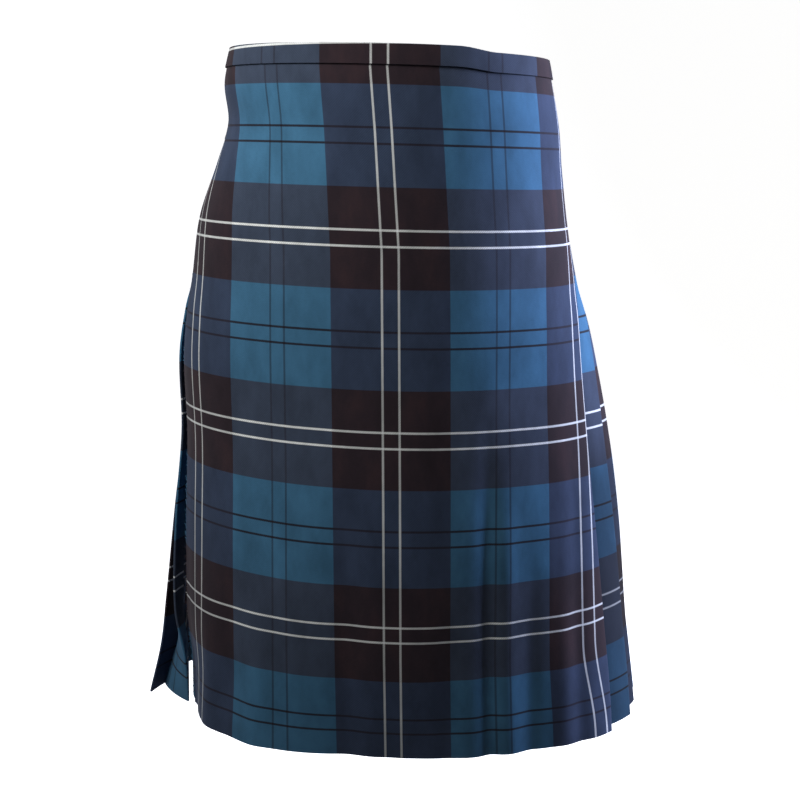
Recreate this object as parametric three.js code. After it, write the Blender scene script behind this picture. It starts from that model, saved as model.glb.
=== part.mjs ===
// A tartan kilt in its worn form: a flat over apron with one fringed edge, an under apron, knife
// pleats round the back, a narrow waistband, and a strap and buckle at each hip.
// Millimetres, +Z up. The front looks along -Y. The origin is the centre of the waist at the height
// of the straps, where the wearer's waist holds the kilt.

import * as THREE from 'three';

// Driving sizes
const LENGTH = 610;
const STRAP_DROP = 65;
const SIDE_DROP = 0.026;
const WALL = 1.2;
const PLEAT_WALL = 1.1;
const SEAM_GAP = 0.3;

// The over apron, measured along the cloth from its middle
const APRON_FREE_EDGE = 228;
const APRON_TURN_UNDER = 24;
const UNDER_APRON_END = 200;
const UNDER_APRON_SETBACK = 3;
const APRON_STEPS = 38;
const UNDER_APRON_STEPS = 36;

// Pleats
const PLEATS = 25;
const FELL = 205;
const PLEATS_END = { hip: 243, hem: 236 };
const OVERLAP_SHARE = 0.55;
const PLEAT_UNEVENNESS = 0.12;
const FOLD_ROUND = 1.3;
const OPENS = 480;

// Waistband
const BAND_HEIGHT = 16;
const BAND_WALL = 1.1;
const BAND_GAP = 0.45;

// Fringe
const FRINGE_TOP = 17;
const FRINGE_LENGTH = 9.5;
const FRINGE_STRIP = 2.4;
const FRINGE_STRANDS = 96;
const FRINGE_ROOT = 3.2;

// Straps and buckles
const STRAP = { width: 30, thickness: 2.2, length: 122, tip: 12 };
const BUCKLE = { along: 32, across: 42, bar: 3, outerBarAt: 60 };
const PRONG = { width: 3, thickness: 1.6 };
const TAB = { width: 27, thickness: 2, length: 36 };
const HIP_STRAPS = [
  { name: 'right', side: -1, start: 216 },
  { name: 'left', side: 1, start: 226 },
];

// The hollow form, one row for each drop below the top edge: half-widths to the photo's left and
// right, half-depths to front and back, all to the inner face of the cloth.
const SECTIONS = [
  { below: 0, left: 138.5, right: 136.5, front: 105, back: 101 },
  { below: 30, left: 144.5, right: 142, front: 111.5, back: 104 },
  { below: 65, left: 141.5, right: 147.5, front: 118, back: 109 },
  { below: 100, left: 151.5, right: 150.5, front: 124, back: 117 },
  { below: 150, left: 168.5, right: 157, front: 131.5, back: 130 },
  { below: 205, left: 176.5, right: 167, front: 138, back: 143 },
  { below: 235, left: 182, right: 174.5, front: 141, back: 147 },
  { below: 280, left: 187, right: 183, front: 145, back: 150 },
  { below: 350, left: 186.5, right: 197, front: 152.5, back: 154 },
  { below: 430, left: 193.5, right: 206.5, front: 159, back: 159 },
  { below: 520, left: 200, right: 213, front: 161.5, back: 165 },
  { below: 565, left: 203, right: 218, front: 160.5, back: 168.5 },
  { below: 610, left: 213, right: 223, front: 158, back: 172 },
];

// How far the middle of each layer stands out from that form, one row for each drop: the pleats'
// creases, the over apron's free edge, folded edge, rounded corner and belly, and the under apron's
// edge. The last pleats have columns of their own, since they open and turn to the front at the hem.
const LAYERS = [
  { below: 0, crease: 7.6, freeEdge: 6.5, fold: 7.2, corner: 0, belly: 0, underEdge: 0.8 },
  { below: 205, crease: 7.6, freeEdge: 8.2, fold: 7.2, corner: 0, belly: 0, underEdge: 0.8 },
  { below: 235, crease: 10, freeEdge: 8.4, fold: 7.2, corner: 0, belly: 0, underEdge: 0.8 },
  { below: 280, crease: 12, freeEdge: 8.4, fold: 7.5, corner: 0, belly: 0, underEdge: 0.8 },
  { below: 350, crease: 12.5, freeEdge: 8, fold: 8.5, corner: 0, belly: 0, underEdge: 0.8 },
  { below: 430, crease: 14.5, freeEdge: 6, fold: 11, corner: 1.5, belly: 0, underEdge: 0.8 },
  { below: 520, crease: 17, freeEdge: 2.5, fold: 14.5, corner: 5, belly: 0, underEdge: -0.5 },
  { below: 565, crease: 18, freeEdge: -3.5, fold: 17, corner: 8.5, belly: 2, underEdge: -6.5 },
  { below: 610, crease: 19, freeEdge: -11.5, fold: 20, corner: 14, belly: 5, underEdge: -14.8 },
];
const LAST_PLEATS = [
  { below: 0, face: 2.3, crease: 7.6, turn: 3.9, before: 0 },
  { below: 205, face: 2.3, crease: 7.6, turn: 3.9, before: 0 },
  { below: 235, face: 2.3, crease: 10, turn: 3.9, before: 0 },
  { below: 280, face: 2.3, crease: 12, turn: 3.9, before: 0 },
  { below: 350, face: 2.3, crease: 12.5, turn: 3.9, before: 0 },
  { below: 430, face: 2.3, crease: 14.5, turn: 3.9, before: 0 },
  { below: 520, face: 3.5, crease: 13, turn: 3, before: 1 },
  { below: 565, face: 7, crease: 4, turn: -2.5, before: 3 },
  { below: 610, face: 11, crease: -5.5, turn: -10.5, before: 4 },
];
// Where the over apron's folded edge runs along the cloth, one row for each drop.
const FOLD_PATH = [
  { below: 0, along: 205 },
  { below: 205, along: 207 },
  { below: 235, along: 199.5 },
  { below: 280, along: 196 },
  { below: 350, along: 196 },
  { below: 430, along: 203 },
  { below: 520, along: 211 },
  { below: 565, along: 212.5 },
  { below: 610, along: 211 },
];
const UNDER_LIFT = 0.8;
const APRON_LIFT = 2.8;
const PLEAT_LIFT = 2.3;

const smooth = (from, to, value) => THREE.MathUtils.smoothstep(value, from, to);
const mix = THREE.MathUtils.lerp;

// A column of a table at any drop, as a smooth curve through its rows.
function column(table, name, below) {
  let i = 0;
  while (i < table.length - 2 && below > table[i + 1].below) i += 1;
  const slope = (k) => {
    const before = table[Math.max(k - 1, 0)];
    const after = table[Math.min(k + 1, table.length - 1)];
    return (after[name] - before[name]) / (after.below - before.below);
  };
  const here = table[i];
  const next = table[i + 1];
  const span = next.below - here.below;
  const t = THREE.MathUtils.clamp((below - here.below) / span, 0, 1);
  const rise = t * t * (3 - 2 * t);
  const enter = t * (1 - t) * (1 - t);
  const leave = t * t * (1 - t);
  return mix(here[name], next[name], rise) + span * (enter * slope(i) - leave * slope(i + 1));
}

// The plan of the form at one drop, sampled from the middle of the front towards the photo's right
// and round, with the length along the cloth up to each sample.
const PLAN_STEPS = 720;
const plans = new Map();
function planAt(below) {
  if (plans.has(below)) return plans.get(below);
  const left = column(SECTIONS, 'left', below);
  const right = column(SECTIONS, 'right', below);
  const front = column(SECTIONS, 'front', below);
  const back = column(SECTIONS, 'back', below);
  const points = [];
  const along = [0];
  for (let i = 0; i <= PLAN_STEPS; i += 1) {
    const turn = (2 * Math.PI * i) / PLAN_STEPS;
    const wide = Math.sin(turn) >= 0 ? right : left;
    const deep = Math.cos(turn) >= 0 ? front : back;
    points.push(new THREE.Vector2(wide * Math.sin(turn), -deep * Math.cos(turn)));
    if (i > 0) along.push(along[i - 1] + points[i].distanceTo(points[i - 1]));
  }
  const plan = { points, along, around: along[PLAN_STEPS] };
  plans.set(below, plan);
  return plan;
}

// A point of the cloth: so far along it from the middle of the front, so far out from the form.
function onForm(below, along, out) {
  const plan = planAt(THREE.MathUtils.clamp(below, 0, LENGTH));
  const wanted = ((along % plan.around) + plan.around) % plan.around;
  let low = 0;
  let high = PLAN_STEPS;
  while (high - low > 1) {
    const middle = (low + high) >> 1;
    if (plan.along[middle] <= wanted) low = middle;
    else high = middle;
  }
  const share = (wanted - plan.along[low]) / (plan.along[high] - plan.along[low]);
  const tangentAt = (i) => {
    const a = plan.points[(i - 1 + PLAN_STEPS) % PLAN_STEPS];
    const b = plan.points[(i + 1) % PLAN_STEPS];
    return b.clone().sub(a).normalize();
  };
  const place = plan.points[low].clone().lerp(plan.points[high], share);
  const tangent = tangentAt(low).lerp(tangentAt(high), share).normalize();
  const x = place.x + tangent.y * out;
  const y = place.y - tangent.x * out;
  return new THREE.Vector3(x, y, STRAP_DROP - below - SIDE_DROP * x);
}

// The top edge dips a little towards the photo's right, where the band is sewn on lower.
const TOP_DIP = { from: 58, to: 95, endsFrom: 230, endsTo: 330, reach: 65, depth: 3.6 };
function topDip(along, below) {
  const sideways = smooth(TOP_DIP.from, TOP_DIP.to, along) * (1 - smooth(TOP_DIP.endsFrom, TOP_DIP.endsTo, along));
  return TOP_DIP.depth * sideways * (1 - smooth(0, TOP_DIP.reach, below));
}

// The same point with that dip.
function onCloth(below, along, out) {
  return onForm(below, along, out).add(new THREE.Vector3(0, 0, -topDip(along, below)));
}

// Two copies of a bent line, each moved sideways by half the wall, with mitred corners.
function wallSides(line, wall) {
  const outer = [];
  const inner = [];
  line.forEach((point, i) => {
    const before = line[Math.max(i - 1, 0)];
    const after = line[Math.min(i + 1, line.length - 1)];
    const a = point.clone().sub(i > 0 ? before : point).normalize();
    const b = after.clone().sub(i < line.length - 1 ? point : after).normalize();
    if (i === 0) a.copy(b);
    if (i === line.length - 1) b.copy(a);
    const bisector = new THREE.Vector2(-(a.y + b.y), a.x + b.x).normalize();
    const square = new THREE.Vector2(-a.y, a.x);
    const reach = wall / 2 / Math.max(bisector.dot(square), 0.35);
    outer.push(point.clone().addScaledVector(bisector, reach));
    inner.push(point.clone().addScaledVector(bisector, -reach));
  });
  return { outer, inner };
}

const isBackwards = (from, to) => from.x * to.y < from.y * to.x;

// Closes rings of points that follow each other into one solid. With alike set, every quad is cut by
// the diagonal that leans the same way round the form, so that walls lying on each other match.
function closedLoft(rings, alike = false) {
  const positions = rings.flat().flatMap((p) => [p.x, p.y, p.z]);
  const size = rings[0].length;
  const index = [];
  for (let row = 0; row < rings.length - 1; row += 1) {
    for (let i = 0; i < size; i += 1) {
      const j = (i + 1) % size;
      const a = row * size + i;
      const b = row * size + j;
      const turned = alike && isBackwards(rings[row][i], rings[row][j]);
      if (turned) index.push(a, a + size, b + size, a, b + size, b);
      else index.push(a, a + size, b, b, a + size, b + size);
    }
  }
  const last = (rings.length - 1) * size;
  for (let i = 0; i < size / 2 - 1; i += 1) {
    const j = size - 1 - i;
    index.push(i, i + 1, j, j, i + 1, j - 1);
    index.push(last + i, last + j, last + i + 1, last + i + 1, last + j, last + j - 1);
  }
  return closedGeometry(positions, index);
}

// The same with rings that meet again, so that it has no ends.
function closedLoop(rings) {
  const positions = rings.flat().flatMap((p) => [p.x, p.y, p.z]);
  const size = rings[0].length;
  const index = [];
  for (let row = 0; row < rings.length; row += 1) {
    const next = (row + 1) % rings.length;
    for (let i = 0; i < size; i += 1) {
      const j = (i + 1) % size;
      const a = row * size;
      const b = next * size;
      index.push(a + i, b + i, a + j, a + j, b + i, b + j);
    }
  }
  return closedGeometry(positions, index);
}

function closedGeometry(positions, index) {
  const geometry = new THREE.BufferGeometry();
  geometry.setAttribute('position', new THREE.Float32BufferAttribute(positions, 3));
  geometry.setIndex(index);
  geometry.computeVertexNormals();
  return geometry;
}

// A cloth wall: lineAt(below) gives its bent middle line at a drop, as points (along, out), and the
// drop of each point of the top row follows the dip of the top edge.
function clothWall(drops, lineAt, wall, alike = false) {
  const rings = drops.map((below) => {
    const { outer, inner } = wallSides(lineAt(below), wall);
    const place = (point) => onCloth(below, point.x, point.y);
    return [...outer.map(place), ...inner.map(place).reverse()];
  });
  return closedLoft(rings, alike);
}

const DROPS = SECTIONS.map((row) => row.below);

// A point between two rows of the cloth, on the straight line that joins them, as the wall itself
// runs. Above the top edge it goes straight up.
function betweenRows(below, pointAt) {
  if (below < 0) return pointAt(0).add(new THREE.Vector3(0, 0, -below));
  let i = 0;
  while (i < DROPS.length - 2 && below > DROPS[i + 1]) i += 1;
  const share = (below - DROPS[i]) / (DROPS[i + 1] - DROPS[i]);
  return pointAt(DROPS[i]).lerp(pointAt(DROPS[i + 1]), share);
}

const layer = (name, below) => column(LAYERS, name, below);
const lastPleat = (name, below) => column(LAST_PLEATS, name, below);
const foldAt = (below) => column(FOLD_PATH, 'along', below);

// The rounded corner that both aprons make at the hem on the photo's left, before they turn back.
const CORNER = { from: 20, to: 222, skew: 2 };
function cornerShare(along) {
  const share = THREE.MathUtils.clamp((-along - CORNER.from) / (CORNER.to - CORNER.from), 0, 1);
  return Math.sin(Math.PI * share ** CORNER.skew);
}

// How far the over apron stands out: close to the under apron in front, and lifted at both edges.
const LIFT_STARTS = 95;
function apronOut(along, below) {
  const left = smooth(LIFT_STARTS, APRON_FREE_EDGE, -along);
  const right = smooth(LIFT_STARTS, foldAt(below), along);
  const free = layer('freeEdge', below) - APRON_LIFT;
  const fold = layer('fold', below) - APRON_LIFT;
  const corner = layer('corner', below) * cornerShare(along);
  const belly = layer('belly', below) * (smooth(15, 70, along) - smooth(95, 165, along));
  return APRON_LIFT + left * free + right * fold + corner + belly;
}

const pleatsEnd = (below) => mix(PLEATS_END.hip, PLEATS_END.hem, smooth(OPENS, LENGTH, below));

// The crease lines of the pleats: crease 0 is the folded edge of the over apron. The pleats share
// out what is left of the girth, the first and last ones wider at the hem.
function creaseAt(k, below) {
  const start = foldAt(below);
  const end = planAt(below).around - pleatsEnd(below);
  const openness = smooth(FELL, LENGTH, below);
  const share = (i) => 1 + openness * (i === 0 ? 0.3 : 0);
  let total = 0;
  let before = 0;
  for (let i = 0; i < PLEATS; i += 1) {
    total += share(i);
    if (i < k) before += share(i);
  }
  return start + ((end - start) * before) / total;
}

function creaseOut(k, below) {
  if (k === PLEATS) return lastPleat('crease', below);
  const more = k === PLEATS - 1 ? lastPleat('before', below) : 0;
  const opened = smooth(FELL, LENGTH, below);
  const uneven = 1 + PLEAT_UNEVENNESS * opened * Math.sin(2.4 * k + 0.7);
  return PLEAT_LIFT + (layer('crease', below) - PLEAT_LIFT) * uneven + more;
}

function overlapAt(k, below) {
  const width = creaseAt(Math.max(k, 1), below) - creaseAt(Math.max(k, 1) - 1, below);
  return OVERLAP_SHARE * width;
}

// The middle line of pleats first to last: each face rises to its crease, and the cloth then turns
// back beneath it to the fold where the next face starts.
function pleatLine(first, last, below) {
  const line = [];
  for (let k = first; k <= last; k += 1) {
    const back = creaseAt(k - 1, below) - overlapAt(k - 1, below);
    const crease = creaseAt(k, below);
    const out = creaseOut(k, below);
    const start = k === PLEATS ? lastPleat('face', below) : PLEAT_LIFT;
    const overNextFold = overlapAt(k, below) / (crease - back);
    if (k > first) line.push(new THREE.Vector2(back, start + FOLD_ROUND));
    line.push(new THREE.Vector2(back + (k > first ? 0.2 : SEAM_GAP / 2), start));
    const sunk = k === 1 ? 0.35 : 0;
    line.push(new THREE.Vector2(mix(crease, back, overNextFold), mix(out, start, overNextFold) - sunk));
    line.push(new THREE.Vector2(crease, out));
    line.push(new THREE.Vector2(crease + 0.1, out - FOLD_ROUND));
  }
  const turn = creaseAt(last, below) - overlapAt(last, below);
  const turnOut = last === PLEATS ? lastPleat('turn', below) : PLEAT_LIFT + FOLD_ROUND + 0.2;
  line.push(new THREE.Vector2(turn + SEAM_GAP, turnOut));
  return line;
}

function overApron() {
  return clothWall(DROPS, (below) => {
    const fold = foldAt(below);
    const line = apronPlaces(below).map((along) => new THREE.Vector2(along, apronOut(along, below)));
    const out = apronOut(fold, below);
    line.push(new THREE.Vector2(fold, out - FOLD_ROUND / 2 - 0.2));
    line.push(new THREE.Vector2(fold - 1, out - FOLD_ROUND - 0.4));
    const sunk = Math.max(out - FOLD_ROUND - 0.9, PLEAT_LIFT + 1.9);
    line.push(new THREE.Vector2(fold - APRON_TURN_UNDER * 0.6, mix(out - 1.9, sunk, 0.7)));
    return line;
  }, WALL);
}

function underApron() {
  return clothWall(DROPS, (below) => underPlaces(below).map((along) => {
    const edge = smooth(LIFT_STARTS, APRON_FREE_EDGE, -along);
    const corner = layer('corner', below) * cornerShare(along);
    return new THREE.Vector2(along, mix(UNDER_LIFT, layer('underEdge', below), edge) + corner);
  }), WALL);
}

// The fringe: a narrow strip along the free edge, with a strand standing out of it at each step.
function apronFringe() {
  const positions = [];
  const index = [];
  const near = -APRON_FREE_EDGE - SEAM_GAP;
  const far = near - FRINGE_STRIP;
  const tip = far - FRINGE_LENGTH;
  const half = WALL / 2;
  const add = (below, along, lift) => {
    const p = betweenRows(below, (drop) => onCloth(drop, along, apronOut(-APRON_FREE_EDGE, drop) + lift));
    positions.push(p.x, p.y, p.z);
    return positions.length / 3 - 1;
  };
  const cross = (below) => [
    add(below, near, half),
    add(below, far, half),
    add(below, far, -half),
    add(below, near, -half),
  ];
  const face = (a, b, c) => index.push(a, c, b);
  const quad = (a, b, c, d) => {
    face(a, b, c);
    face(a, c, d);
  };
  const pitch = (LENGTH - FRINGE_TOP) / FRINGE_STRANDS;
  let previous = cross(FRINGE_TOP);
  quad(previous[0], previous[1], previous[2], previous[3]);
  for (let i = 0; i < FRINGE_STRANDS; i += 1) {
    const middle = FRINGE_TOP + (i + 0.5) * pitch;
    const ends = [middle - FRINGE_ROOT / 2, middle + FRINGE_ROOT / 2];
    if (i === FRINGE_STRANDS - 1) ends.push(LENGTH);
    ends.forEach((below, n) => {
      const next = cross(below);
      for (let side = 0; side < 4; side += 1) {
        if (side === 1 && n === 1) continue;
        const other = (side + 1) % 4;
        quad(previous[side], next[side], next[other], previous[other]);
      }
      if (n === 1) {
        const sway = 1.6 * Math.sin(i * 2.1);
        const point = add(THREE.MathUtils.clamp(middle + sway, 0, LENGTH), tip, 0.5 * Math.sin(i * 1.3));
        face(previous[1], next[1], point);
        face(next[1], next[2], point);
        face(next[2], previous[2], point);
        face(previous[2], previous[1], point);
      }
      previous = next;
    });
  }
  quad(previous[3], previous[2], previous[1], previous[0]);
  return closedGeometry(positions, index);
}

// The waistband: a wall and a lip over the top edge, run along a layer of cloth through the places
// that placesAt gives for a drop. outward is -1 where the wall lies on the inner side of the cloth.
function waistband(placesAt, outAt, innerOut, outward) {
  const rings = placesAt(0).map((_, i) => {
    const place = (below, outOf) => betweenRows(below, (drop) => {
      const along = placesAt(drop)[i];
      return onCloth(drop, along, outOf(along, drop));
    });
    const wallNear = (along, drop) => outAt(along, drop) + outward * BAND_GAP;
    const wallFar = (along, drop) => outAt(along, drop) + outward * (BAND_GAP + BAND_WALL);
    const lipTop = -SEAM_GAP - BAND_WALL;
    const ring = [
      place(lipTop, innerOut),
      place(lipTop, wallFar),
      place(BAND_HEIGHT, wallFar),
      place(BAND_HEIGHT, wallNear),
      place(-SEAM_GAP, wallNear),
      place(-SEAM_GAP, innerOut),
    ];
    return outward > 0 ? ring.reverse() : ring;
  });
  return closedLoft(rings);
}

const spread = (from, to, steps) => Array.from({ length: steps + 1 }, (_, i) => mix(from, to, i / steps));
const apronPlaces = (below) => spread(-APRON_FREE_EDGE, foldAt(below) - 1, APRON_STEPS);
const underPlaces = (below) => {
  const start = -pleatsEnd(below) - overlapAt(PLEATS, below) + UNDER_APRON_SETBACK;
  return spread(start, UNDER_APRON_END, UNDER_APRON_STEPS);
};
const creasePlaces = (below) => Array.from({ length: PLEATS }, (_, k) => creaseAt(k + 1, below));

// How far out the leather of a hip strap lies at a distance along it: flat on the cloth, under the
// outer bar of the buckle, then up over the hinge bar and the tab.
const hingeBarAt = BUCKLE.outerBarAt + BUCKLE.along - BUCKLE.bar;
const LEATHER_OUT = 8.5;
const STRAP_OVER_TAB = LEATHER_OUT + TAB.thickness + SEAM_GAP + 0.2;
function strapOut(hip, t) {
  const onApron = hip.side < 0 ? 0.45 * (1 - smooth(0, 20, t)) : 0;
  const rise = smooth(BUCKLE.outerBarAt + 4, hingeBarAt - 4, t);
  return mix(LEATHER_OUT - onApron, STRAP_OVER_TAB + 0.3, rise);
}

const hipPoint = (hip, t, across, out) => {
  const below = STRAP_DROP + across;
  return betweenRows(below, (drop) => onCloth(drop, hip.side * (hip.start + t), out));
};

// A flat piece of leather along the hip, as rings that bend with the cloth at the strap's middle.
function leather(hip, stations) {
  const rings = stations.map(({ t, half, low, high }) => {
    const across = [-half, 0, half];
    const outer = across.map((place) => hipPoint(hip, t, place, high));
    const inner = across.map((place) => hipPoint(hip, t, place, low));
    const ring = [...outer, ...inner.reverse()];
    return hip.side > 0 ? ring.reverse() : ring;
  });
  return closedLoft(rings);
}

function hipStrap(hip) {
  const stations = [];
  const body = STRAP.length - STRAP.tip;
  const bodySteps = 14;
  for (let i = 0; i <= bodySteps; i += 1) {
    const t = (body * i) / bodySteps;
    stations.push({ t, half: STRAP.width / 2 });
  }
  stations.push({ t: body + STRAP.tip * 0.5, half: STRAP.width * 0.4 });
  stations.push({ t: STRAP.length, half: STRAP.width * 0.14 });
  return leather(hip, stations.map(({ t, half }) => {
    const low = strapOut(hip, t);
    return { t, half, low, high: low + STRAP.thickness };
  }));
}

function buckleTab(hip) {
  const from = hingeBarAt + BUCKLE.bar / 2 + SEAM_GAP;
  const steps = 4;
  const stations = [];
  for (let i = 0; i <= steps; i += 1) {
    const t = from + (TAB.length * i) / steps;
    stations.push({ t, half: TAB.width / 2, low: LEATHER_OUT, high: LEATHER_OUT + TAB.thickness });
  }
  return leather(hip, stations);
}

// The buckle's frame, a closed loop of square bar that slopes from over the strap to the hinge bar.
function buckleFrame(hip) {
  const overStrap = strapOut(hip, BUCKLE.outerBarAt) + STRAP.thickness + SEAM_GAP;
  const half = BUCKLE.bar / 2;
  const wide = BUCKLE.across / 2 - half;
  const sideSteps = 3;
  const loop = [];
  for (let i = 0; i <= sideSteps; i += 1) loop.push({ share: i / sideSteps, across: -wide });
  loop.push({ share: 1, across: 0 });
  for (let i = sideSteps; i >= 0; i -= 1) loop.push({ share: i / sideSteps, across: wide });
  loop.push({ share: 0, across: 0 });
  const rings = loop.map(({ share, across }) => {
    const t = mix(BUCKLE.outerBarAt, hingeBarAt, share);
    const low = mix(overStrap, LEATHER_OUT, share);
    const end = share === 0 ? -half : share === 1 ? half : 0;
    const side = Math.sign(across) * half;
    return [
      hipPoint(hip, t - end, across - side, low),
      hipPoint(hip, t + end, across + side, low),
      hipPoint(hip, t + end, across + side, low + BUCKLE.bar - 0.8),
      hipPoint(hip, t - end, across - side, low + BUCKLE.bar - 0.8),
    ];
  });
  return closedLoop(hip.side > 0 ? rings.map((ring) => ring.reverse()) : rings);
}

function buckleProng(hip) {
  const low = strapOut(hip, BUCKLE.outerBarAt) + STRAP.thickness + BUCKLE.bar - 0.8 + 2 * SEAM_GAP;
  const lowAtHinge = strapOut(hip, hingeBarAt) + STRAP.thickness + SEAM_GAP;
  const out = Math.max(low, lowAtHinge);
  return leather(hip, [0, 0.33, 0.66, 1].map((share) => ({
    t: mix(BUCKLE.outerBarAt - 1, hingeBarAt - 2, share),
    half: PRONG.width / 2,
    low: out,
    high: out + PRONG.thickness,
  })));
}

function mesh(name, geometry, colour, roughness, metalness = 0) {
  const material = new THREE.MeshStandardMaterial({ color: colour, roughness, metalness });
  material.side = THREE.DoubleSide;
  const made = new THREE.Mesh(geometry, material);
  made.name = name;
  return made;
}

const CLOTH_BLUE = 0x33597f;
const CLOTH_DARK = 0x2a2329;
const LEATHER = 0x17120f;
const METAL = 0xb9bcc0;

const kilt = new THREE.Group();
const middlePleat = Math.ceil(PLEATS / 2);
const pleats = (first, last) => clothWall(DROPS, (below) => pleatLine(first, last, below), PLEAT_WALL, true);
kilt.add(mesh('over_apron', overApron(), CLOTH_BLUE, 0.85));
kilt.add(mesh('under_apron', underApron(), CLOTH_DARK, 0.85));
kilt.add(mesh('pleats_left', pleats(1, middlePleat), CLOTH_BLUE, 0.85));
kilt.add(mesh('pleats_right', pleats(middlePleat + 1, PLEATS), CLOTH_DARK, 0.85));
kilt.add(mesh('apron_fringe', apronFringe(), CLOTH_BLUE, 0.9));

const halfWall = WALL / 2;
const apronFace = (along, drop) => apronOut(along, drop) + halfWall;
const apronBack = (along, drop) => apronOut(along, drop) - halfWall;
const pleatFace = (along, drop) => layer('crease', drop) + PLEAT_WALL / 2;
const pleatBack = () => PLEAT_LIFT - PLEAT_WALL / 2;
const underFace = () => UNDER_LIFT + halfWall;
const underBack = () => UNDER_LIFT - halfWall;
const frontPlaces = (below) => [...apronPlaces(below), foldAt(below) + halfWall];
const backPlaces = (below) => [foldAt(below) + halfWall + SEAM_GAP, ...creasePlaces(below)];
const bandFront = waistband(frontPlaces, apronFace, apronBack, 1);
const bandBack = waistband(backPlaces, pleatFace, pleatBack, 1);
const bandUnder = waistband(underPlaces, underBack, underFace, -1);
kilt.add(mesh('waistband_front', bandFront, CLOTH_DARK, 0.85));
kilt.add(mesh('waistband_back', bandBack, CLOTH_DARK, 0.85));
kilt.add(mesh('waistband_under', bandUnder, CLOTH_DARK, 0.85));

HIP_STRAPS.forEach((hip) => {
  kilt.add(mesh(`strap_${hip.name}`, hipStrap(hip), LEATHER, 0.5));
  kilt.add(mesh(`buckle_tab_${hip.name}`, buckleTab(hip), LEATHER, 0.5));
  kilt.add(mesh(`buckle_${hip.name}`, buckleFrame(hip), METAL, 0.25, 1));
  kilt.add(mesh(`buckle_prong_${hip.name}`, buckleProng(hip), METAL, 0.25, 1));
});

export default kilt;
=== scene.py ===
"""Looks of a tartan kilt in its worn form: shells of cloth on the solids' form, with soft folds,
knife pleats, a fringe, a waistband, hip straps and buckles. Sizes are millimetres until a mesh is
made."""

import math

import bpy
import numpy as np
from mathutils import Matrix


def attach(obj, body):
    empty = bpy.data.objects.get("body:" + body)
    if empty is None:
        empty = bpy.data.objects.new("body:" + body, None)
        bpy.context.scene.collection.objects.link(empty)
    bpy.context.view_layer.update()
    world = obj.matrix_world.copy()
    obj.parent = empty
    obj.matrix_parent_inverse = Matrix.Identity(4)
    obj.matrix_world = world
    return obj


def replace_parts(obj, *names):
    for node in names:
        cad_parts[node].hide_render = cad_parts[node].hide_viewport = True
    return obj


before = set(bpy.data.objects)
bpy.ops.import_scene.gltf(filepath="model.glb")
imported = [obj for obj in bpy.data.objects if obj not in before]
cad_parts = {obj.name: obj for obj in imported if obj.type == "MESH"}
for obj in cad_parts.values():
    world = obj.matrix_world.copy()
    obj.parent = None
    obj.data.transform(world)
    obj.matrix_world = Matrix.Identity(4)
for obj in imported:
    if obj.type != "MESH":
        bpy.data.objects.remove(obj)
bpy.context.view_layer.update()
scene = bpy.context.scene

METRE = 0.001

# Driving sizes, as in the solids
LENGTH = 610
STRAP_DROP = 65
SIDE_DROP = 0.026
SEAM_GAP = 0.3

APRON_FREE_EDGE = 228
APRON_TURN_UNDER = 14
UNDER_APRON_END = 200
APRON_LIFT = 2.8
UNDER_LIFT = 0.8
LIFT_STARTS = 95

PLEATS = 25
FELL = 205
PLEATS_END = {"hip": 243, "hem": 236}
OPENS = 480
OVERLAP_SHARE = 0.55
FIRST_PLEAT_WIDER = 0.3
PLEAT_UNEVENNESS = 0.12
PLEAT_WAVE = {"turn": 2.4, "start": 0.7}
PLEAT_LIFT = 2.3
FOLD_RADIUS = 0.65

BAND_HEIGHT = 16
BAND_GAP = 0.45
BAND_WALL = 1.1

# Thickness of each kind of cloth in the scene
CLOTH = {"apron": 1.1, "plain": 1.0, "strip": 0.9}

# The hollow form at drops below the top edge: half-widths to the photo's left and right,
# half-depths to front and back
FORM = {
    "below": [0, 30, 65, 100, 150, 205, 235, 280, 350, 430, 520, 565, 610],
    "left": [138.5, 144.5, 141.5, 151.5, 168.5, 176.5, 182, 187, 186.5, 193.5, 200, 203, 213],
    "right": [136.5, 142, 147.5, 150.5, 157, 167, 174.5, 183, 197, 206.5, 213, 218, 223],
    "front": [105, 111.5, 118, 124, 131.5, 138, 141, 145, 152.5, 159, 161.5, 160.5, 158],
    "back": [101, 104, 109, 117, 130, 143, 147, 150, 154, 159, 165, 168.5, 172],
}

# How far the middle of each layer stands out from that form
LAYERS = {
    "below": [0, 205, 235, 280, 350, 430, 520, 565, 610],
    "crease": [7.6, 7.6, 10, 12, 12.5, 14.5, 17, 18, 19],
    "free_edge": [6.5, 8.2, 8.4, 8.4, 8, 6, 2.5, -3.5, -11.5],
    "fold": [7.2, 7.2, 7.2, 7.5, 8.5, 11, 14.5, 17, 20],
    "corner": [0, 0, 0, 0, 0, 1.5, 5, 8.5, 14],
    "belly": [0, 0, 0, 0, 0, 0, 0, 2, 5],
    "under_edge": [0.8, 0.8, 0.8, 0.8, 0.8, 0.8, -0.5, -6.5, -14.8],
    "last_face": [2.3, 2.3, 2.3, 2.3, 2.3, 2.3, 3.5, 7, 11],
    "last_crease": [7.6, 7.6, 10, 12, 12.5, 14.5, 13, 4, -5.5],
    "last_turn": [3.9, 3.9, 3.9, 3.9, 3.9, 3.9, 3, -2.5, -10.5],
    "before_last": [0, 0, 0, 0, 0, 0, 1, 3, 4],
}

# Where the over apron's folded edge runs along the cloth
FOLD_PATH = {
    "below": [0, 205, 235, 280, 350, 430, 520, 565, 610],
    "along": [205, 207, 199.5, 196, 196, 203, 211, 212.5, 211],
}

# The top edge is sewn lower at the photo's right, between these places along it, down to a drop
TOP_DIP = {"depth": 3.6, "starts": (58, 95), "ends": (230, 330), "fades": (0, 65)}
# The rounded hem corner, left of the middle, and the belly, right of it
CORNER = {"start": 20, "width": 202}
BELLY = {"rises": (15, 70), "falls": (95, 165)}

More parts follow.
